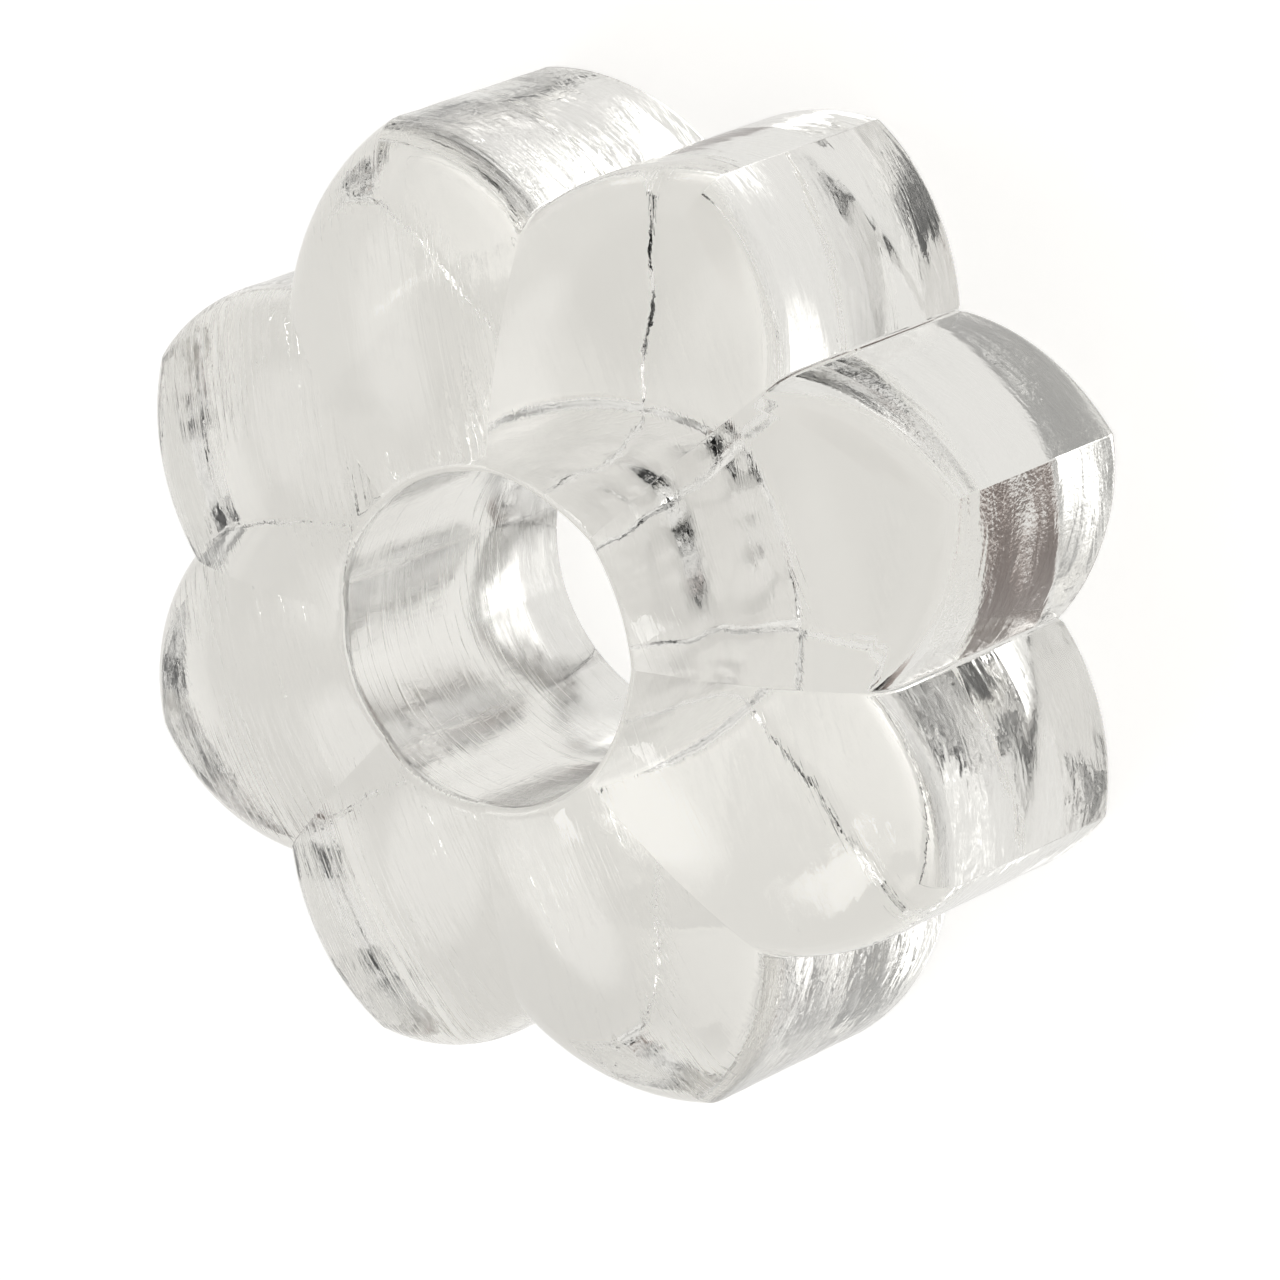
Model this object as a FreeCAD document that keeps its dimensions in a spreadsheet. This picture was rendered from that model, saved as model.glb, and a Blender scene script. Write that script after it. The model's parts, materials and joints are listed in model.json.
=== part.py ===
import FreeCAD, Part
import math
import os

import Sketcher
from FreeCAD import Placement, Rotation, Vector

# Flower-shaped ring with one through bore: a single-hole flower frog, in millimetres.
#
# The real object is one clear moulding. It is modelled as a hub around the bore and eight
# pointed petals, cut apart on a root cylinder, so that each feature has a name of its own.
# All petals are the outer part of one shared 45 degree sector of the ring, turned about the
# bore's axis, and the hub is the eight inner parts of that sector, joined.
#
# +Z is up along the bore, z = 0 is the face that it rests on, and petal_1 points along +X.

PETAL_COUNT = 8
FULL_TURN = 360.0
SECTOR_ANGLE = FULL_TURN / PETAL_COUNT
CLOSE = 0.01  # distance within which a point counts as lying on a face
EDGE_SAMPLES = 5  # points looked at along an edge to tell where it runs
STEP_FOLDER = "parts"
SHEET = "dimensions"

# Driving dimensions in millimetres: alias, value, meaning.
DIMENSIONS = (
    ("bore_diameter", 22.0, "through bore that the stems stand in"),
    ("tip_reach", 33.6, "axis to the pointed tip of a petal"),
    ("notch_reach", 27.3, "axis to the notch between two petals"),
    ("flank_bulge", 1.45, "rise of a petal's curved flank above its chord"),
    ("crest_height", 26.5, "highest line of the crowned front, beside the bore"),
    ("crest_reach", 10.2, "axis to the highest line of the crowned front"),
    ("crown_radius", 45.5, "radius of the crown from the bore out to a tip"),
    ("barrel_radius", 26.5, "radius of a petal's crown from side to side, at its crest"),
    ("shoulder_radius", 4.2, "rounding between a petal's crown and its flanks"),
    ("rim_radius", 0.6, "rounding of the bore's two rims"),
    ("dish_depth", 1.9, "how far the underside is recessed at the bore"),
    ("dish_reach", 22.0, "axis to the outer edge of the recessed underside"),
    ("groove_depth", 0.8, "bevel beside each line where two petals meet underneath"),
    ("root_reach", 19.0, "axis to where the petals leave the hub"),
    ("stock_margin", 4.0, "height of the blank above the crest"),
    ("cutter_margin", 8.0, "how far the crown's turning tool reaches past the moulding"),
)

# Cells worked out from the driving dimensions.
DERIVED = (
    ("bore_reach", "=bore_diameter / 2", "radius of the bore"),
    (
        "flank_chord",
        "=sqrt(tip_reach ^ 2 + notch_reach ^ 2"
        " - 2 * tip_reach * notch_reach * cos(%g deg))" % (SECTOR_ANGLE / 2),
        "straight distance from a tip to the next notch",
    ),
    (
        "flank_radius",
        "=(flank_chord ^ 2 / 4 + flank_bulge ^ 2) / (2 * flank_bulge)",
        "radius of a petal's curved flank",
    ),
)


def make_sheet(doc):
    """Spreadsheet with every driving dimension and the cells derived from them."""
    sheet = doc.addObject("Spreadsheet::Sheet", SHEET)
    for row, (alias, content, meaning) in enumerate(DIMENSIONS + DERIVED, start=1):
        sheet.set("A%d" % row, alias)
        sheet.set("B%d" % row, str(content))
        sheet.set("C%d" % row, meaning)
        sheet.setAlias("B%d" % row, alias)
    doc.recompute()
    return sheet


def cell(sheet, alias):
    """Value of one cell as a plain number."""
    return float(sheet.get(alias))


def add_sketch(body, name, plane_role):
    """Empty sketch on one of its own body's origin planes."""
    sketch = body.newObject("Sketcher::SketchObject", name)
    plane = next(item for item in body.Origin.OriginFeatures if item.Role == plane_role)
    sketch.AttachmentSupport = [(plane, "")]
    sketch.MapMode = "FlatFace"
    return sketch


def add_polyline(sketch, points):
    """Closed run of straight lines through the points; returns the index of each line."""
    closed = list(points) + [points[0]]
    lines = []
    for start, end in zip(closed, closed[1:]):
        lines.append(sketch.addGeometry(Part.LineSegment(Vector(*start), Vector(*end))))
    for line, following in zip(lines, lines[1:] + lines[:1]):
        sketch.addConstraint(Sketcher.Constraint("Coincident", line, 2, following, 1))
    return lines


def drive(sketch, constraint, expression):
    """Add a dimension to a sketch and bind its value to the spreadsheet."""
    index = sketch.addConstraint(constraint)
    sketch.setExpression("Constraints[%d]" % index, expression)


def sheet_name(alias):
    return "%s.%s" % (SHEET, alias)


def blank_height():
    """Height of the blank that the sector is cut from, up to above the crest."""
    return "%s + %s" % (sheet_name("crest_height"), sheet_name("stock_margin"))


def arc_through(centre, start, end):
    """Counter-clockwise arc about centre from start to end."""
    circle = Part.Circle(Vector(*centre), Vector(0, 0, 1), math.dist(centre[:2], start[:2]))
    angles = [math.atan2(point[1] - centre[1], point[0] - centre[0]) for point in (start, end)]
    return Part.ArcOfCircle(circle, angles[0], angles[1])


def add_outline_sketch(body, sheet):
    """Plan of one sector: a slice of the bore, two radial sides and two flanks to a point."""
    half = math.radians(SECTOR_ANGLE / 2)
    bore = cell(sheet, "bore_reach")
    notch = cell(sheet, "notch_reach")
    tip = (cell(sheet, "tip_reach"), 0.0, 0.0)
    sides = (Vector(math.cos(half), math.sin(half), 0), Vector(math.cos(half), -math.sin(half), 0))
    bore_points = [tuple(side * bore) for side in sides]
    notch_points = [tuple(side * notch) for side in sides]

    # Centre of the +Y flank: back from the middle of its chord, square to the chord.
    chord = math.dist(tip, notch_points[0])
    back = cell(sheet, "flank_radius") - cell(sheet, "flank_bulge")
    along = ((notch_points[0][0] - tip[0]) / chord, notch_points[0][1] / chord)
    middle = ((tip[0] + notch_points[0][0]) / 2, notch_points[0][1] / 2)
    centre = (middle[0] - along[1] * back, middle[1] + along[0] * back, 0.0)
    mirrored = (centre[0], -centre[1], 0.0)

    sketch = add_sketch(body, "sector_outline", "XY_Plane")
    origin = (0.0, 0.0, 0.0)
    inner = sketch.addGeometry(arc_through(origin, bore_points[1], bore_points[0]))
    left = sketch.addGeometry(Part.LineSegment(Vector(*bore_points[0]), Vector(*notch_points[0])))
    left_flank = sketch.addGeometry(arc_through(centre, tip, notch_points[0]))
    right_flank = sketch.addGeometry(arc_through(mirrored, notch_points[1], tip))
    right = sketch.addGeometry(Part.LineSegment(Vector(*bore_points[1]), Vector(*notch_points[1])))

    for constraint in (
        ("Coincident", inner, 3, -1, 1),
        ("Coincident", inner, 2, left, 1),
        ("Coincident", left, 2, left_flank, 2),
        ("Coincident", left_flank, 1, right_flank, 2),
        ("Coincident", right_flank, 1, right, 2),
        ("Coincident", right, 1, inner, 1),
        ("PointOnObject", -1, 1, left),
        ("PointOnObject", left_flank, 1, -1),
        ("PointOnObject", -1, 1, right),
        ("Symmetric", left, 2, right, 2, -1),
        ("Equal", left_flank, right_flank),
        ("Angle", left, half),
    ):
        sketch.addConstraint(Sketcher.Constraint(*constraint))
    drive(sketch, Sketcher.Constraint("Radius", inner, bore), sheet_name("bore_reach"))
    drive(sketch, Sketcher.Constraint("Distance", -1, 1, left, 2, notch), sheet_name("notch_reach"))
    drive(
        sketch,
        Sketcher.Constraint("DistanceX", -1, 1, left_flank, 1, tip[0]),
        sheet_name("tip_reach"),
    )
    drive(
        sketch,
        Sketcher.Constraint("Radius", left_flank, cell(sheet, "flank_radius")),
        sheet_name("flank_radius"),
    )
    return sketch


def add_crown_sketch(body, sheet):
    """Everything outside the crown, drawn level with the line that the crown is turned about.

    The drawing lies sideways, so that the seam of the turned face falls outside the sector.
    """
    crest = cell(sheet, "barrel_radius")
    crown = cell(sheet, "crown_radius")
    middle = cell(sheet, "crest_reach")
    margin = cell(sheet, "cutter_margin")
    outer = cell(sheet, "tip_reach") + margin
    top = crest + margin
    sketch = add_sketch(body, "crown_profile", "XY_Plane")
    sketch.setExpression(
        "AttachmentOffset.Base.z",
        "%s - %s" % (sheet_name("crest_height"), sheet_name("barrel_radius")),
    )

    def on_crown(reach):
        return crest - crown + math.sqrt(crown ** 2 - (reach - middle) ** 2)

    centre = (middle, crest - crown, 0.0)
    inner_end = (0.0, on_crown(0.0), 0.0)
    outer_end = (outer, on_crown(outer), 0.0)
    arc = sketch.addGeometry(arc_through(centre, outer_end, inner_end))
    corners = (inner_end, (0.0, top, 0.0), (outer, top, 0.0), outer_end)
    lines = []
    for start, end in zip(corners, corners[1:]):
        lines.append(sketch.addGeometry(Part.LineSegment(Vector(*start), Vector(*end))))
    inner_side, lid, outer_side = lines
    for constraint in (
        ("Coincident", arc, 2, inner_side, 1),
        ("Coincident", inner_side, 2, lid, 1),
        ("Coincident", lid, 2, outer_side, 1),
        ("Coincident", outer_side, 2, arc, 1),
        ("Vertical", inner_side),
        ("Horizontal", lid),
        ("Vertical", outer_side),
        ("PointOnObject", inner_side, 1, -2),
    ):
        sketch.addConstraint(Sketcher.Constraint(*constraint))
    drive(sketch, Sketcher.Constraint("Radius", arc, crown), sheet_name("crown_radius"))
    drive(
        sketch,
        Sketcher.Constraint("DistanceX", -1, 1, arc, 3, middle),
        sheet_name("crest_reach"),
    )
    drive(
        sketch,
        Sketcher.Constraint("DistanceY", arc, 3, -1, 1, crown - crest),
        "%s - %s" % (sheet_name("crown_radius"), sheet_name("barrel_radius")),
    )
    drive(
        sketch,
        Sketcher.Constraint("DistanceX", -1, 1, lid, 2, outer),
        "%s + %s" % (sheet_name("tip_reach"), sheet_name("cutter_margin")),
    )
    drive(
        sketch,
        Sketcher.Constraint("DistanceY", -1, 1, lid, 1, top),
        "%s + %s" % (sheet_name("barrel_radius"), sheet_name("cutter_margin")),
    )
    return sketch


def add_dish_sketch(body, sheet):
    """Half section of the shallow recess under the hub, drawn with its seam outside the sector."""
    bore = cell(sheet, "bore_reach")
    depth = cell(sheet, "dish_depth")
    reach = cell(sheet, "dish_reach")
    sketch = add_sketch(body, "dish_profile", "YZ_Plane")
    corners = ((0.0, 0.0, 0.0), (reach, 0.0, 0.0), (bore, depth, 0.0), (0.0, depth, 0.0))
    floor_line, slope, level, axis_line = add_polyline(sketch, corners)
    for constraint in (
        ("Coincident", floor_line, 1, -1, 1),
        ("Horizontal", floor_line),
        ("Horizontal", level),
        ("Vertical", axis_line),
    ):
        sketch.addConstraint(Sketcher.Constraint(*constraint))
    drive(
        sketch,
        Sketcher.Constraint("DistanceX", floor_line, 1, floor_line, 2, reach),
        sheet_name("dish_reach"),
    )
    drive(
        sketch,
        Sketcher.Constraint("DistanceX", -1, 1, slope, 2, bore),
        sheet_name("bore_reach"),
    )
    drive(
        sketch,
        Sketcher.Constraint("DistanceY", -1, 1, slope, 2, depth),
        sheet_name("dish_depth"),
    )
    return sketch


def edge_names(shape, wanted):
    """Names of the edges of a shape whose points all pass the test."""
    names = []
    for index, edge in enumerate(shape.Edges, start=1):
        points = edge.discretize(Number=EDGE_SAMPLES)
        if all(wanted(point) for point in points):
            names.append("Edge%d" % index)
    return names


def reach_of(point):
    return math.hypot(point.x, point.y)


def add_dressing(body, kind, name, base, edges):
    """Fillet or chamfer on the named edges of the body's last feature."""
    feature = body.newObject("PartDesign::%s" % kind, name)
    feature.Base = (base, edges)
    return feature


def make_sector(doc, sheet):
    """One 45 degree sector of the moulding, with its petal pointing along +X."""
    body = doc.addObject("PartDesign::Body", "sector")
    half = math.radians(SECTOR_ANGLE / 2)
    bore = cell(sheet, "bore_reach")

    outline = add_outline_sketch(body, sheet)
    blank = body.newObject("PartDesign::Pad", "sector_blank")
    blank.Profile = outline
    blank.setExpression("Length", blank_height())
    doc.recompute()

    crown = body.newObject("PartDesign::Groove", "crown_turning")
    crown.Profile = add_crown_sketch(body, sheet)
    crown.ReferenceAxis = (crown.Profile[0], ["H_Axis"])
    crown.Angle = FULL_TURN
    doc.recompute()

    def on_side(point):
        return abs(abs(math.atan2(point.y, point.x)) - half) < CLOSE / bore

    def on_shoulder(point):
        clear_of_base = point.z > cell(sheet, "shoulder_radius")
        return reach_of(point) > cell(sheet, "notch_reach") - CLOSE and clear_of_base

    def is_shoulder(edge):
        ends = [vertex.Point for vertex in edge.Vertexes]
        level = abs(ends[0].z - ends[1].z) < math.dist(ends[0][:2], ends[1][:2])
        return all(on_shoulder(point) for point in ends) and level

    shoulder_edges = []
    for index, edge in enumerate(crown.Shape.Edges, start=1):
        if is_shoulder(edge):
            shoulder_edges.append("Edge%d" % index)
    shoulder = add_dressing(body, "Fillet", "shoulder", crown, shoulder_edges)
    shoulder.setExpression("Radius", sheet_name("shoulder_radius"))
    doc.recompute()

    dish = body.newObject("PartDesign::Groove", "underside_dish")
    dish.Profile = add_dish_sketch(body, sheet)
    dish.ReferenceAxis = (dish.Profile[0], ["V_Axis"])
    dish.Angle = FULL_TURN
    doc.recompute()

    def on_base_side(point):
        return on_side(point) and point.z < cell(sheet, "dish_depth") + CLOSE

    groove_edges = edge_names(dish.Shape, on_base_side)
    bevel = add_dressing(body, "Chamfer", "petal_groove", dish, groove_edges)
    bevel.setExpression("Size", sheet_name("groove_depth"))
    doc.recompute()

    def on_rim(point):
        within_sector = abs(point.y) <= bore * math.sin(half) + CLOSE
        return abs(reach_of(point) - bore) < CLOSE and within_sector

    rim_edges = []
    for index, edge in enumerate(bevel.Shape.Edges, start=1):
        points = edge.discretize(Number=EDGE_SAMPLES)
        runs_round = abs(points[0].y - points[-1].y) > CLOSE
        if runs_round and all(on_rim(point) for point in points):
            rim_edges.append("Edge%d" % index)
    rims = add_dressing(body, "Fillet", "bore_rims", bevel, rim_edges)
    rims.setExpression("Radius", sheet_name("rim_radius"))
    body.Tip = rims
    doc.recompute()
    return body


def turned(index):
    """Placement of the sector of one petal, counted from petal_1 on +X."""
    return Placement(Vector(), Rotation(Vector(0, 0, 1), index * SECTOR_ANGLE))


def make_pieces(doc, sheet):
    """Hub and petals, cut from the turned sectors by the root cylinder."""
    sector = make_sector(doc, sheet)
    root = doc.addObject("Part::Cylinder", "root_cylinder")
    root.setExpression("Radius", sheet_name("root_reach"))
    root.setExpression("Height", blank_height())

    hub_parts = []
    petals = []
    for index in range(PETAL_COUNT):
        petal = doc.addObject("Part::Cut", "petal_%d" % (index + 1))
        petal.Base = sector
        petal.Tool = root
        petal.Placement = turned(index)
        petals.append(petal)

        hub_part = doc.addObject("Part::Common", "hub_part_%d" % (index + 1))
        hub_part.Base = sector
        hub_part.Tool = root
        hub_part.Placement = turned(index)
        hub_parts.append(hub_part)

    hub = doc.addObject("Part::MultiFuse", "hub")
    hub.Shapes = hub_parts
    hub.Refine = True
    doc.recompute()
    return [hub] + petals


def check_document(doc):
    """Stop if any object of the document failed to build."""
    for item in doc.Objects:
        if "Invalid" in item.State or "Error" in item.State:
            raise RuntimeError("%s did not build" % item.Label)


def write_pieces(pieces):
    """Write each piece, as one valid solid, to its own STEP file."""
    os.makedirs(STEP_FOLDER, exist_ok=True)
    for piece in pieces:
        shape = piece.Shape
        if shape.isNull() or not shape.isValid() or len(shape.Solids) != 1:
            raise RuntimeError("%s is not one valid solid" % piece.Label)
        shape.exportStep(os.path.join(STEP_FOLDER, "%s.step" % piece.Label))


document = FreeCAD.newDocument("flower_frog")
dimension_sheet = make_sheet(document)
named_pieces = make_pieces(document, dimension_sheet)
check_document(document)
write_pieces(named_pieces)
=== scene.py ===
import json
import math

import bmesh
import bpy
import numpy as np
from mathutils import Matrix, Vector, noise


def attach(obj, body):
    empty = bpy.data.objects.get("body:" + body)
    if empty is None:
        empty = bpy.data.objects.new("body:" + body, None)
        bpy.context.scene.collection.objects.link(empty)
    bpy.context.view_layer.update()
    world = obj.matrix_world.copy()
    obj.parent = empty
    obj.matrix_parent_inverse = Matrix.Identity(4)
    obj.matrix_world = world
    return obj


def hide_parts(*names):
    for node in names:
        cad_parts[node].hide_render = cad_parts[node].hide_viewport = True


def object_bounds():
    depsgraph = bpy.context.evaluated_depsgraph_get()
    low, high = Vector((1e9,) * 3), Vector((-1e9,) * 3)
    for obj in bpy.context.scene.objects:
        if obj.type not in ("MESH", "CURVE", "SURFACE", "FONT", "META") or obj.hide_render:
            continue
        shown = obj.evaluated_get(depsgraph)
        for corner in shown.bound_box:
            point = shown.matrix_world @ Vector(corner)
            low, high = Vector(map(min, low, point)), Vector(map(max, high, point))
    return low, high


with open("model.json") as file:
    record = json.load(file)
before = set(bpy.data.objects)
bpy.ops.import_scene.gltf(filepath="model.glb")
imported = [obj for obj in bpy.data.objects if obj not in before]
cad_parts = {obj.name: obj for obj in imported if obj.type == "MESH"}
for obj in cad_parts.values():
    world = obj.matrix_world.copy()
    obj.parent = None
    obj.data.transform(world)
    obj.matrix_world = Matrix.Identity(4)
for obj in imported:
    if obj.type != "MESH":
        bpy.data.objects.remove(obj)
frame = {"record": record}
cad_low, cad_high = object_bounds()

# The look of the clear flower-shaped ring: one seamless moulding that stands for the CAD hub
# and petals, in metres. Its plan and section are theirs, apart from a softer foot, finer
# grooves, a slightly swollen bore and the waves in its surface.

MM = 0.001
PETALS = 8
HALF_SECTOR = math.pi / PETALS

# Plan of a petal.
TIP_REACH = cad_high.x
NOTCH_REACH = 27.3 * MM
FLANK_BULGE = 1.45 * MM
TIP_ROUNDING = 0.35 * MM
NOTCH_ROUNDING = 0.3 * MM

# Section from the bore out to a tip.
BORE_REACH = frame["record"]["mounts"][0]["dims"]["r_mm"] * MM
CREST_HEIGHT = cad_high.z
CREST_REACH = 10.2 * MM
CROWN_RADIUS = 45.5 * MM
BARREL_RADIUS = 26.5 * MM
RIM_ROUNDING = 0.6 * MM
SHOULDER_REACH = 2.4 * MM
SHOULDER_DROP = 2.6 * MM
# The foot's rounding on the +X side and on the -X side.
FOOT_ROUNDING = 0.5 * MM
FAR_FOOT_ROUNDING = 2.2 * MM
DISH_DEPTH = 1.9 * MM
DISH_REACH = 22.0 * MM
# The grooves lose this share of their depth towards -X.
GROOVE_DEPTH = 0.32 * MM
GROOVE_FADING = 0.7
GROOVE_WANDER = 0.35 * MM
GROOVE_WANDER_LENGTH = 3.0 * MM
GROOVE_SEED_STEP = 7.3

# Waves that the mould and the cooling left in each surface: height of a wave, its length up
# the moulding, and how many times longer it is across.
CROWN_WAVES = (0.030 * MM, 7.0 * MM, 1.0)
SIDE_WAVES = (0.060 * MM, 2.6 * MM, 2.0)
SIDE_CRINKLE = (0.016 * MM, 0.9 * MM, 2.5)
BORE_WAVES = (0.030 * MM, 3.0 * MM, 1.0)
BASE_WAVES = (0.060 * MM, 3.5 * MM, 1.0)
BASE_CRINKLE = (0.012 * MM, 0.9 * MM, 1.0)
# A fine even line along both edges of the shoulder.
SHOULDER_LINE = (0.060 * MM, 100.0 * MM, 1.0)
# The bore's wall swells on the +X side: greatest swell and its length. The swell is full up to
# the first distance outside the bore's reach and gone at the second.
BORE_SWELL = (0.42 * MM, 4.5 * MM)
SWELL_FULL = 0.1 * MM
SWELL_GONE = 0.3 * MM

# Mesh density: steps along each stretch of the plan and of the section.
TIP_STEPS = 5
FLANK_STEPS = 38
FLANK_CROWDING = 1.5
NOTCH_STEPS = 5
RIM_STEPS = 6
WALL_STEPS = 22
CROWN_STEPS = 54
SHOULDER_STEPS = 12
SIDE_STEPS = 26
FOOT_STEPS = 6
BASE_STEPS = 30

# The step over which the crown's slope is measured, and the angle from which an edge is sharp.
SLOPE_STEP = 0.01 * MM
SHARP_ANGLE = math.radians(35)


def directions(angles):
    """Unit vectors in the plan at one angle or several."""
    return np.stack((np.cos(angles), np.sin(angles)), axis=-1)


def arc_points(centre, radius, start, end, steps):
    """Points from start to end, two angles, along an arc."""
    return centre + radius * directions(np.linspace(start, end, steps + 1))


def angle_of(vector):
    return math.atan2(vector[1], vector[0])


def half_petal():
    """Plan from a rounded tip on +X, along one flank, to the rounded notch beside it."""
    tip = np.array((TIP_REACH, 0.0))
    notch = NOTCH_REACH * directions(HALF_SECTOR)
    chord = notch - tip
    length = np.hypot(*chord)
    outward = np.array((chord[1], -chord[0])) / length
    radius = (length ** 2 / 4 + FLANK_BULGE ** 2) / (2 * FLANK_BULGE)
    centre = (tip + notch) / 2 - outward * (radius - FLANK_BULGE)

    # The tip's rounding touches both flanks from inside.
    inwards = math.sqrt((radius - TIP_ROUNDING) ** 2 - centre[1] ** 2)
    tip_centre = np.array((centre[0] + inwards, 0.0))
    tip_end = angle_of(tip_centre - centre)
    rounded_tip = arc_points(tip_centre, TIP_ROUNDING, 0.0, tip_end, TIP_STEPS)

    # The notch's rounding touches both flanks from outside.
    ray = directions(HALF_SECTOR)
    along = ray @ centre
    reach = along + math.sqrt(along ** 2 - centre @ centre + (radius + NOTCH_ROUNDING) ** 2)
    notch_centre = ray * reach
    notch_start = angle_of(notch_centre - centre)
    # Steps get shorter towards the notch, where the underside has its grooves.
    shares = 1 - np.linspace(1, 0, FLANK_STEPS + 1) ** FLANK_CROWDING
    flank = centre + radius * directions(tip_end + (notch_start - tip_end) * shares)
    rounded_notch = arc_points(
        notch_centre, NOTCH_ROUNDING, notch_start - math.pi, HALF_SECTOR - math.pi, NOTCH_STEPS
    )
    return np.concatenate((rounded_tip, flank[1:], rounded_notch[1:]))


def whole_plan():
    """Angle and reach of every point of the plan, counter-clockwise from petal_1's tip."""
    half = half_petal()
    angles = np.arctan2(half[:, 1], half[:, 0])
    reaches = np.hypot(half[:, 0], half[:, 1])
    all_angles = []
    all_reaches = []
    for petal in range(PETALS):
        middle = petal * 2 * HALF_SECTOR
        all_angles += [middle + angles[:-1], middle + 2 * HALF_SECTOR - angles[:0:-1]]
        all_reaches += [reaches[:-1], reaches[:0:-1]]
    return np.concatenate(all_angles), np.concatenate(all_reaches)


def crown_height(along, across):
    """Height of a petal's crown: an arc along the petal, turned about an axis under it."""
    axis_height = CREST_HEIGHT - BARREL_RADIUS
    fall = CROWN_RADIUS - np.sqrt(CROWN_RADIUS ** 2 - (along - CREST_REACH) ** 2)
    return axis_height + np.sqrt((BARREL_RADIUS - fall) ** 2 - across ** 2)


def build_section(angles, outer):
    """Rings of points, from the bore's lower rim up, over the crown and back underneath."""
    local = (angles + HALF_SECTOR) % (2 * HALF_SECTOR) - HALF_SECTOR
    along = np.cos(local)
    across = np.sin(local)
    notch_number = np.floor(angles / (2 * HALF_SECTOR))
    from_notch = angles - (notch_number + 0.5) * 2 * HALF_SECTOR
    rings = []

    def crown(reach):
        return crown_height(reach * along, reach * across)

    def base(reach):
        """Underside: flat pads, a shallow dish round the bore, grooves between the petals."""
        dish = DISH_DEPTH * np.clip((DISH_REACH - reach) / (DISH_REACH - BORE_REACH), 0, 1)
        reach = np.broadcast_to(reach, angles.shape)
        wander = [
            noise.noise(Vector((out / GROOVE_WANDER_LENGTH, GROOVE_SEED_STEP * number, 0)))
            for out, number in zip(reach, notch_number)
        ]
        off_line = reach * np.sin(from_notch) - GROOVE_WANDER * np.array(wander)
        depth = GROOVE_DEPTH * (1 - GROOVE_FADING * (0.5 - 0.5 * np.cos(angles)))
        return dish + np.clip(depth - np.abs(off_line), 0, None)

    def add(reach, height, *waves):
        reach = np.broadcast_to(reach, angles.shape)
        rings.append((reach, np.broadcast_to(height, angles.shape), waves))

    # Lower rim and bore wall.
    rim = BORE_REACH + RIM_ROUNDING
    low = base(rim)
    for turn in np.linspace(0, math.pi / 2, RIM_STEPS + 1):
        reach = rim - RIM_ROUNDING * math.sin(turn)
        add(reach, low + RIM_ROUNDING * (1 - math.cos(turn)), BORE_WAVES)
    high = crown(rim)
    for share in np.linspace(0, 1, WALL_STEPS + 1)[1:-1]:
        start = low + RIM_ROUNDING
        add(BORE_REACH, start + (high - RIM_ROUNDING - start) * share, BORE_WAVES)

    # Upper rim, then out over the crown.
    for turn in np.linspace(0, math.pi / 2, RIM_STEPS + 1):
        reach = rim - RIM_ROUNDING * math.cos(turn)
        add(reach, high - RIM_ROUNDING * (1 - math.sin(turn)), CROWN_WAVES)
    edge = outer - SHOULDER_REACH
    for share in np.linspace(0, 1, CROWN_STEPS + 1)[1:]:
        reach = rim + (edge - rim) * share
        add(reach, crown(reach), CROWN_WAVES)

    # Shoulder: a smooth turn from the crown's slope to the upright side.
    edge_height = crown(edge)
    slope = (crown(edge + SLOPE_STEP) - edge_height) / SLOPE_STEP
    corner = edge_height + slope * SHOULDER_REACH
    side_top = corner - SHOULDER_DROP
    for number, share in enumerate(np.linspace(0, 1, SHOULDER_STEPS + 1)[1:], start=1):
        near, middle, far = (1 - share) ** 2, 2 * share * (1 - share), share ** 2
        line = [SHOULDER_LINE] if number in (1, SHOULDER_STEPS - 1) else []
        add(
            near * edge + (middle + far) * outer,
            near * edge_height + middle * corner + far * side_top,
            CROWN_WAVES,
            *line,
        )

    # Side, foot and underside, back in to the lower rim. The foot is rounder towards -X.
    farness = (0.5 - 0.5 * np.cos(angles)) ** 2
    rounding = FOOT_ROUNDING + (FAR_FOOT_ROUNDING - FOOT_ROUNDING) * farness
    foot = base(outer)
    for share in np.linspace(0, 1, SIDE_STEPS + 1)[1:]:
        add(outer, side_top + (foot + rounding - side_top) * share, SIDE_WAVES, SIDE_CRINKLE)
    for turn in np.linspace(0, math.pi / 2, FOOT_STEPS + 1)[1:]:
        reach = outer - rounding * (1 - math.cos(turn))
        add(reach, foot + rounding * (1 - math.sin(turn)), SIDE_WAVES)
    for share in np.linspace(0, 1, BASE_STEPS + 1)[1:-1]:
        reach = outer - rounding + (rim - outer + rounding) * share
        add(reach, base(reach), BASE_WAVES, BASE_CRINKLE)
    return rings


def press_waves(mesh, waves_of_rings, across):
    """Push each point inwards along its normal by its ring's waves."""
    normals = [vertex.normal.copy() for vertex in mesh.vertices]
    for vertex, normal in zip(mesh.vertices, normals):
        x, y, z = vertex.co
        for depth, length, drawn in waves_of_rings[vertex.index // across]:
            swell = 0.5 + 0.5 * noise.noise(Vector((x / drawn, y / drawn, z)) / length)
            vertex.co -= normal * depth * swell


def press_swell(mesh):
    """Push the bore's wall outwards, most on the +X side and at mid height."""
    depth, length = BORE_SWELL
    for vertex in mesh.vertices:
        place = vertex.co.copy()
        reach = math.hypot(place.x, place.y)
        on_wall = (BORE_REACH + SWELL_GONE - reach) / (SWELL_GONE - SWELL_FULL)
        on_wall = min(max(on_wall, 0), 1)
        side = max(place.x / reach, 0)
        middle = max(1 - (2 * place.z / CREST_HEIGHT - 1) ** 2, 0)
        push = depth * on_wall * side * middle * (0.5 + 0.5 * noise.noise(place / length))
        vertex.co.x += push * place.x / reach
        vertex.co.y += push * place.y / reach


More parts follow.
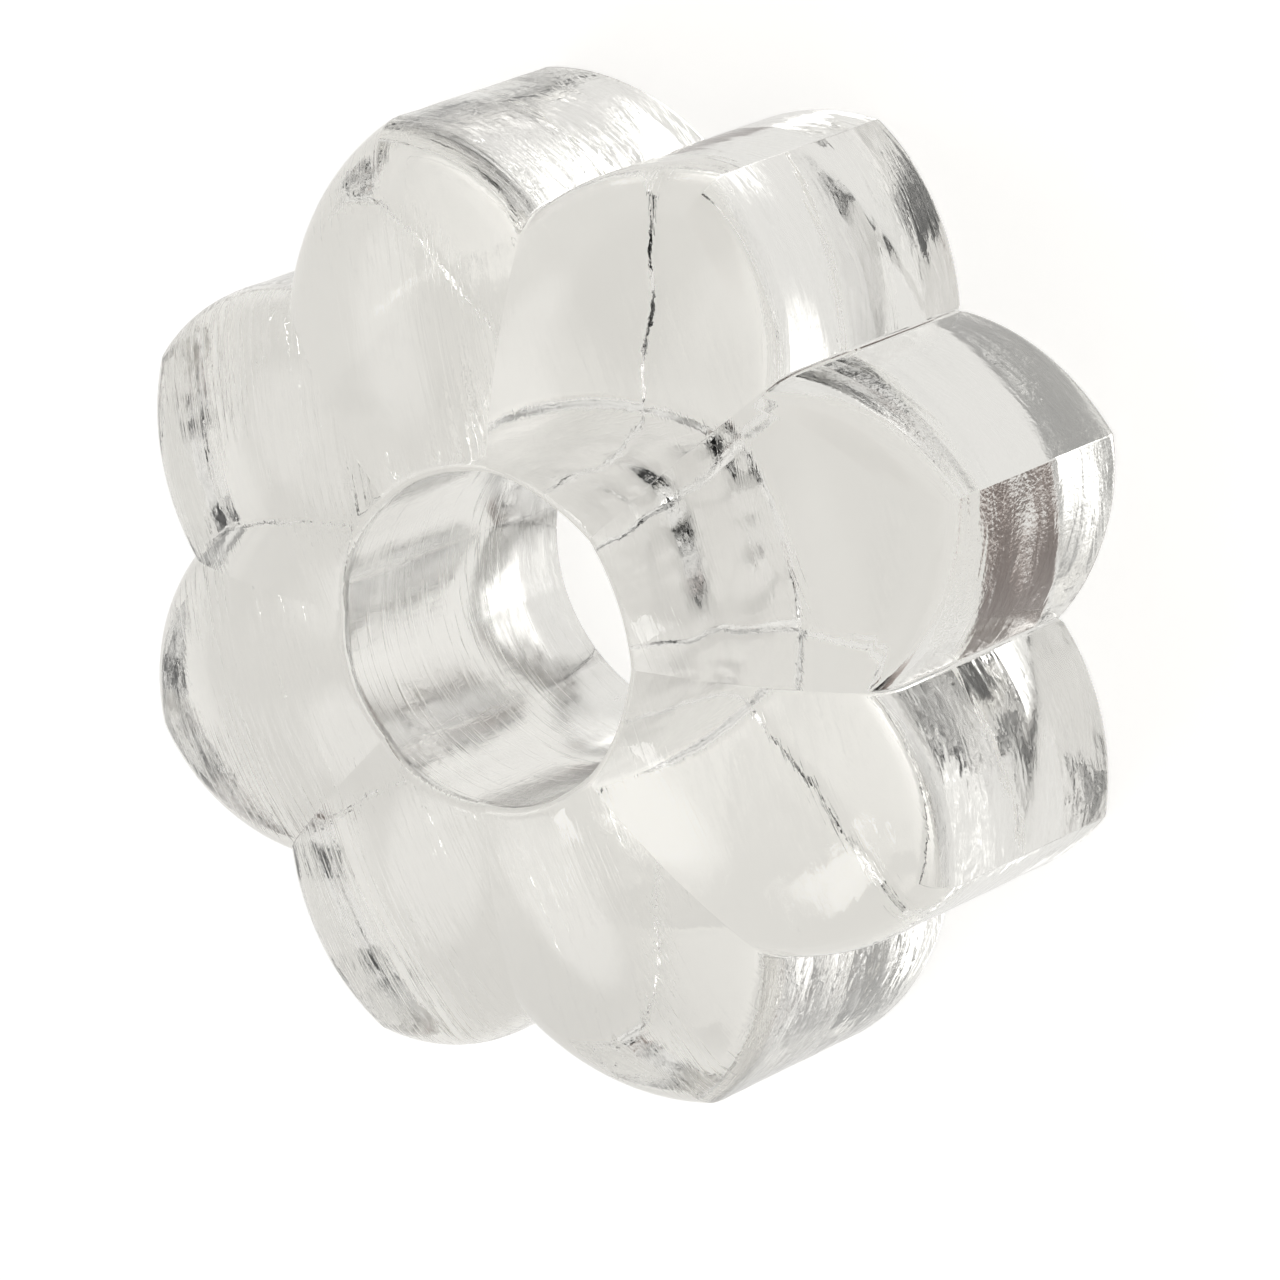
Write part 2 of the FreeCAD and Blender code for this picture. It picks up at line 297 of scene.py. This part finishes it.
def make_moulding():
    """Closed quad mesh of the whole ring."""
    angles, outer = whole_plan()
    rings = build_section(angles, outer)
    points = []
    for reach, height, _ in rings:
        points.append(np.stack((reach * np.cos(angles), reach * np.sin(angles), height), axis=1))
    across = len(angles)
    faces = []
    for ring in range(len(rings)):
        following = (ring + 1) % len(rings)
        for step in range(across):
            beside = (step + 1) % across
            faces.append(
                (
                    ring * across + step,
                    ring * across + beside,
                    following * across + beside,
                    following * across + step,
                )
            )
    mesh = bpy.data.meshes.new("clear_moulding")
    mesh.from_pydata(np.concatenate(points).tolist(), [], faces)
    mesh.update()
    work = bmesh.new()
    work.from_mesh(mesh)
    bmesh.ops.recalc_face_normals(work, faces=work.faces)
    work.to_mesh(mesh)
    work.free()
    press_waves(mesh, [waves for _, _, waves in rings], across)
    press_swell(mesh)
    mesh.polygons.foreach_set("use_smooth", [True] * len(mesh.polygons))
    mesh.set_sharp_from_angle(angle=SHARP_ANGLE)
    return mesh


# Glass: its tint and refractive index, and the roughness of its clean surface, of its hairline
# marks, and of the bore's wall (least and most).
GLASS_TINT = (0.93, 0.922, 0.89, 1)
GLASS_INDEX = 1.5
CLEAN_ROUGHNESS = 0.012
MARKED_ROUGHNESS = 0.09
WALL_ROUGHNESS = (0.10, 0.22)

# Noise in the glass: length of one cycle along each axis, detail, distortion.
PATCH_NOISE = ((11 * MM, 11 * MM, 11 * MM), 2.0, 0.0)
STRAND_NOISE = ((0.30 * MM, 9 * MM, 3 * MM), 3.0, 0.4)
WALL_NOISE = ((5 * MM, 5 * MM, 5 * MM), 2.0, 0.0)
CRINKLE_NOISE = ((1.1 * MM, 1.6 * MM, 1.1 * MM), 3.0, 0.0)
STREAK_NOISE = ((5 * MM, 5 * MM, 1.1 * MM), 1.0, 0.6)
SPECKLE_NOISE = ((1.6 * MM, 1.6 * MM, 1.0 * MM), 1.0, 0.5)
PIT_NOISE = ((0.28 * MM, 0.28 * MM, 0.28 * MM), 3.0, 0.0)
# On the unrolled bore the first axis is an angle in radians.
WALL_MARK_NOISE = ((0.7, 0.45 * MM, 1.0), 3.0, 0.5)

# Noise values at which each kind of mark starts and is full.
PATCH_RANGE = (0.38, 0.55)
STRAND_RANGE = (0.50, 0.68)
WALL_RANGE = (0.35, 0.65)
WALL_MARK_RANGE = (0.54, 0.68)

# Places where each kind of mark starts and is full.
WORN_X = (12 * MM, -18 * MM)
LEAST_WORN = 0.12
DULL_WALL_X = (3 * MM, -3 * MM)
DULL_WALL_REACH = (BORE_REACH + 0.4 * MM, BORE_REACH + 0.1 * MM)
UPRIGHT_NORMAL_Z = (0.4, 0.15)
SIDE_REACH = (20 * MM, 24 * MM)
PITTED_X = (25 * MM, 33 * MM)
SPECKLED_Y = (-12 * MM, -22 * MM)

# Bumps: strength and height.
CRINKLE_BUMP = (0.35, 0.03 * MM)
MARK_BUMP = (0.52, 0.04 * MM)
DRAWN_BUMP = (0.5, 0.10 * MM)
PIT_BUMP = (0.35, 0.05 * MM)


def make_glass():
    """Clear glass: hairline marks in patches, a fine crinkle everywhere, and worn sides."""
    material = bpy.data.materials.new("clear_glass")
    material.use_nodes = True
    nodes = material.node_tree.nodes
    links = material.node_tree.links
    shader = nodes["Principled BSDF"]
    shader.inputs["Base Color"].default_value = GLASS_TINT
    shader.inputs["Transmission Weight"].default_value = 1.0
    shader.inputs["IOR"].default_value = GLASS_INDEX
    place = nodes.new("ShaderNodeTexCoord")

    def noise_of(stretch, detail, distortion, source=place.outputs["Object"]):
        """Noise with one cycle per length, in metres, given for each axis."""
        scale = nodes.new("ShaderNodeMapping")
        scale.inputs["Scale"].default_value = [1 / length for length in stretch]
        links.new(source, scale.inputs["Vector"])
        texture = nodes.new("ShaderNodeTexNoise")
        texture.inputs["Scale"].default_value = 1.0
        texture.inputs["Detail"].default_value = detail
        texture.inputs["Distortion"].default_value = distortion
        links.new(scale.outputs["Vector"], texture.inputs["Vector"])
        return texture.outputs["Fac"]

    def remap(value, span, least=0.0, most=1.0):
        """Least at the span's first value, most at its second, and never past either."""
        ramp = nodes.new("ShaderNodeMapRange")
        ramp.inputs["From Min"].default_value = span[0]
        ramp.inputs["From Max"].default_value = span[1]
        ramp.inputs["To Min"].default_value = least
        ramp.inputs["To Max"].default_value = most
        links.new(value, ramp.inputs["Value"])
        return ramp.outputs["Result"]

    def math_node(operation, first, second):
        """Result of a sum on two outputs, or on an output and a number."""
        result = nodes.new("ShaderNodeMath")
        result.operation = operation
        links.new(first, result.inputs[0])
        if isinstance(second, float):
            result.inputs[1].default_value = second
        else:
            links.new(second, result.inputs[1])
        return result.outputs["Value"]

    def times(first, second):
        return math_node("MULTIPLY", first, second)

    def bump(size, height, below=None):
        """Normal of a bump of a strength and height, on top of the bump below it."""
        strength, distance = size
        layer = nodes.new("ShaderNodeBump")
        layer.inputs["Strength"].default_value = strength
        layer.inputs["Distance"].default_value = distance
        links.new(height, layer.inputs["Height"])
        if below is not None:
            links.new(below, layer.inputs["Normal"])
        return layer.outputs["Normal"]

    # Place on the moulding: x, y and z, the reach from the axis, and how upright the face is.
    apart = nodes.new("ShaderNodeSeparateXYZ")
    links.new(place.outputs["Object"], apart.inputs["Vector"])
    x, y, z = (apart.outputs[axis] for axis in "XYZ")
    flat = nodes.new("ShaderNodeVectorMath")
    flat.operation = "MULTIPLY"
    flat.inputs[1].default_value = (1, 1, 0)
    links.new(place.outputs["Object"], flat.inputs[0])
    length = nodes.new("ShaderNodeVectorMath")
    length.operation = "LENGTH"
    links.new(flat.outputs["Vector"], length.inputs[0])
    reach = length.outputs["Value"]
    facing = nodes.new("ShaderNodeSeparateXYZ")
    links.new(place.outputs["Normal"], facing.inputs["Vector"])
    on_side = remap(facing.outputs["Z"], UPRIGHT_NORMAL_Z)

    # Hairline marks in patches, more of them towards -X.
    worn_side = remap(x, WORN_X, LEAST_WORN)
    patches = times(remap(noise_of(*PATCH_NOISE), PATCH_RANGE), worn_side)
    hairs = times(patches, remap(noise_of(*STRAND_NOISE), STRAND_RANGE))

    # The bore's wall is duller on its -X side, with marks that run round it.
    on_wall = times(remap(reach, DULL_WALL_REACH), remap(x, DULL_WALL_X))
    wall_dullness = times(on_wall, remap(noise_of(*WALL_NOISE), WALL_RANGE, *WALL_ROUGHNESS))
    hair_dullness = remap(hairs, (0.0, 1.0), CLEAN_ROUGHNESS, MARKED_ROUGHNESS)
    links.new(math_node("ADD", hair_dullness, wall_dullness), shader.inputs["Roughness"])
    unrolled = nodes.new("ShaderNodeCombineXYZ")
    links.new(math_node("ARCTAN2", y, times(x, -1.0)), unrolled.inputs["X"])
    links.new(z, unrolled.inputs["Y"])
    round_marks = noise_of(*WALL_MARK_NOISE, source=unrolled.outputs["Vector"])
    wall_marks = times(on_wall, remap(round_marks, WALL_MARK_RANGE))

    # Upright sides: streaks on all, speckle where they face -Y, fine pits at petal_1's tip.
    outer_side = times(on_side, remap(reach, SIDE_REACH))
    streaks = times(outer_side, noise_of(*STREAK_NOISE))
    speckled = times(outer_side, remap(y, SPECKLED_Y))
    speckle = times(speckled, noise_of(*SPECKLE_NOISE))
    pitted = times(remap(x, PITTED_X), on_side)
    pits = times(pitted, noise_of(*PIT_NOISE))

    crinkle = bump(CRINKLE_BUMP, noise_of(*CRINKLE_NOISE))
    marks = bump(MARK_BUMP, math_node("ADD", hairs, wall_marks), crinkle)
    drawn = bump(DRAWN_BUMP, math_node("ADD", streaks, speckle), marks)
    links.new(bump(PIT_BUMP, pits, drawn), shader.inputs["Normal"])
    return material


moulding_mesh = make_moulding()
moulding = bpy.data.objects.new("clear_moulding", moulding_mesh)
bpy.context.scene.collection.objects.link(moulding)
moulding_mesh.materials.append(make_glass())
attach(moulding, "root")
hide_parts("hub", *["petal_%d" % (number + 1) for number in range(PETALS)])


def direction_to(azimuth, elevation):
    """Unit vector from the origin, from two angles in degrees."""
    around = math.radians(azimuth)
    up = math.radians(elevation)
    flat = math.cos(up)
    return Vector((math.cos(around) * flat, math.sin(around) * flat, math.sin(up)))


# Studio: a pale floor just under the moulding, soft light from all round and one small lamp.
# The floor glows more in the camera's own view than to light that goes on through the glass.
FLOOR_SIZE = 3.0
FLOOR_GAP = 0.3 * MM
FLOOR_COLOUR = (0.52, 0.52, 0.52, 1)
FLOOR_ROUGHNESS = 0.8
GLOW_COLOUR = (1.0, 0.99, 0.97, 1)
GLOW_THROUGH_GLASS = 0.51
GLOW_IN_VIEW = 0.68


def make_floor():
    mesh = bpy.data.meshes.new("floor")
    half = FLOOR_SIZE / 2
    corners = [(-half, -half, 0), (half, -half, 0), (half, half, 0), (-half, half, 0)]
    mesh.from_pydata(corners, [], [(0, 1, 2, 3)])
    floor = bpy.data.objects.new("floor", mesh)
    floor.location.z = -FLOOR_GAP
    bpy.context.scene.collection.objects.link(floor)
    material = bpy.data.materials.new("pale_floor")
    material.use_nodes = True
    nodes = material.node_tree.nodes
    links = material.node_tree.links
    shader = nodes["Principled BSDF"]
    shader.inputs["Base Color"].default_value = FLOOR_COLOUR
    shader.inputs["Roughness"].default_value = FLOOR_ROUGHNESS
    shader.inputs["Emission Color"].default_value = GLOW_COLOUR
    path = nodes.new("ShaderNodeLightPath")
    glow = nodes.new("ShaderNodeMapRange")
    glow.inputs["To Min"].default_value = GLOW_THROUGH_GLASS
    glow.inputs["To Max"].default_value = GLOW_IN_VIEW
    links.new(path.outputs["Is Camera Ray"], glow.inputs["Value"])
    links.new(glow.outputs["Result"], shader.inputs["Emission Strength"])
    mesh.materials.append(material)


make_floor()

# World: darker and brighter areas of the studio. Each has a direction, the cosine of the angle
# from it at which the area starts and at which it is full, and its value outside and inside.
# The windows' values outside add up to the world's own strength; the shades multiply it.
LEFT_WINDOW = ((-0.68, -0.30, 0.67), 0.96, 0.985, 0.42, 2.2)
RIGHT_WINDOW = ((-0.62, 0.34, 0.71), 0.96, 0.985, 0.42, 1.6)
DARK_SIDE = ((0.48, 0.57, 0.67), 0.90, 0.965, 1.0, 0.14)
CAMERA_SIDE = ((0.57, -0.81, 0.05), 0.84, 0.98, 1.0, 0.42)
CEILING_GAP = ((-0.22, 0.38, 0.90), 0.915, 0.98, 1.0, 0.3)
DARK_SIDE_COLOUR = (1.0, 0.68, 0.57, 1)
WORLD_COLOUR = (1.0, 0.995, 0.98, 1)
BACKDROP_COLOUR = (1.0, 1.0, 1.0, 1)


def make_world():
    """Studio light from all round, behind a white backdrop in the camera's own view."""
    world = bpy.data.worlds.new("studio")
    bpy.context.scene.world = world
    world.use_nodes = True
    nodes = world.node_tree.nodes
    links = world.node_tree.links
    nodes.clear()
    out = nodes.new("ShaderNodeOutputWorld")
    background = nodes.new("ShaderNodeBackground")
    seen = nodes.new("ShaderNodeBackground")
    mix = nodes.new("ShaderNodeMixShader")
    path = nodes.new("ShaderNodeLightPath")
    direction = nodes.new("ShaderNodeTexCoord")

    def towards(vector, low, high, low_value, high_value):
        """Smooth change of a value with the angle from a direction."""
        dot = nodes.new("ShaderNodeVectorMath")
        dot.operation = "DOT_PRODUCT"
        dot.inputs[1].default_value = Vector(vector).normalized()
        links.new(direction.outputs["Generated"], dot.inputs[0])
        ramp = nodes.new("ShaderNodeMapRange")
        ramp.interpolation_type = "SMOOTHSTEP"
        ramp.inputs["From Min"].default_value = low
        ramp.inputs["From Max"].default_value = high
        ramp.inputs["To Min"].default_value = low_value
        ramp.inputs["To Max"].default_value = high_value
        links.new(dot.outputs["Value"], ramp.inputs["Value"])
        return ramp.outputs["Result"]

    dark_side = towards(*DARK_SIDE)
    windows = nodes.new("ShaderNodeMath")
    windows.operation = "ADD"
    links.new(towards(*LEFT_WINDOW), windows.inputs[0])
    links.new(towards(*RIGHT_WINDOW), windows.inputs[1])
    strength = windows.outputs["Value"]
    for shade in (dark_side, towards(*CAMERA_SIDE), towards(*CEILING_GAP)):
        product = nodes.new("ShaderNodeMath")
        product.operation = "MULTIPLY"
        links.new(strength, product.inputs[0])
        links.new(shade, product.inputs[1])
        strength = product.outputs["Value"]
    links.new(strength, background.inputs["Strength"])
    tone = nodes.new("ShaderNodeMix")
    tone.data_type = "RGBA"
    links.new(dark_side, tone.inputs["Factor"])
    tone.inputs["A"].default_value = DARK_SIDE_COLOUR
    tone.inputs["B"].default_value = WORLD_COLOUR
    links.new(tone.outputs["Result"], background.inputs["Color"])
    seen.inputs["Color"].default_value = BACKDROP_COLOUR
    links.new(path.outputs["Is Camera Ray"], mix.inputs[0])
    links.new(background.outputs[0], mix.inputs[1])
    links.new(seen.outputs[0], mix.inputs[2])
    links.new(mix.outputs[0], out.inputs["Surface"])


make_world()

# Lamp: a small one, high up on the side away from the camera.
LAMP_AZIMUTH = -160
LAMP_ELEVATION = 58
LAMP_DISTANCE = 0.9
LAMP_SIZE = 0.08
LAMP_POWER = 0.08


def make_lamp():
    light = bpy.data.lights.new("back_softbox", "AREA")
    light.shape = "RECTANGLE"
    light.size = LAMP_SIZE
    light.size_y = LAMP_SIZE
    light.energy = LAMP_POWER
    lamp = bpy.data.objects.new("back_softbox", light)
    away = direction_to(LAMP_AZIMUTH, LAMP_ELEVATION)
    lamp.location = away * LAMP_DISTANCE
    lamp.rotation_euler = away.to_track_quat("Z", "Y").to_euler()
    bpy.context.scene.collection.objects.link(lamp)


make_lamp()

# Camera: a long lens, high up on petal_1's side, and rolled.
CAMERA_AIM = Vector((-4.0, -4.2, 5.4)) * MM
CAMERA_AZIMUTH = 5.6
CAMERA_ELEVATION = 52.4
CAMERA_ROLL = -112.6
CAMERA_DISTANCE = 653.2 * MM
CAMERA_LENS = 278.7
CAMERA_SENSOR = 36.0
CAMERA_NEAR = 0.01
CAMERA_FAR = 20.0


def make_camera():
    data = bpy.data.cameras.new("camera")
    data.lens = CAMERA_LENS
    data.sensor_width = CAMERA_SENSOR
    data.clip_start = CAMERA_NEAR
    data.clip_end = CAMERA_FAR
    camera = bpy.data.objects.new("camera", data)
    away = direction_to(CAMERA_AZIMUTH, CAMERA_ELEVATION)
    roll = Matrix.Rotation(math.radians(CAMERA_ROLL), 3, "Z")
    turn = away.to_track_quat("Z", "Y").to_matrix() @ roll
    camera.matrix_world = Matrix.Translation(CAMERA_AIM + away * CAMERA_DISTANCE) @ turn.to_4x4()
    bpy.context.scene.collection.objects.link(camera)
    bpy.context.scene.camera = camera


make_camera()
bpy.context.scene.view_settings.view_transform = "Standard"
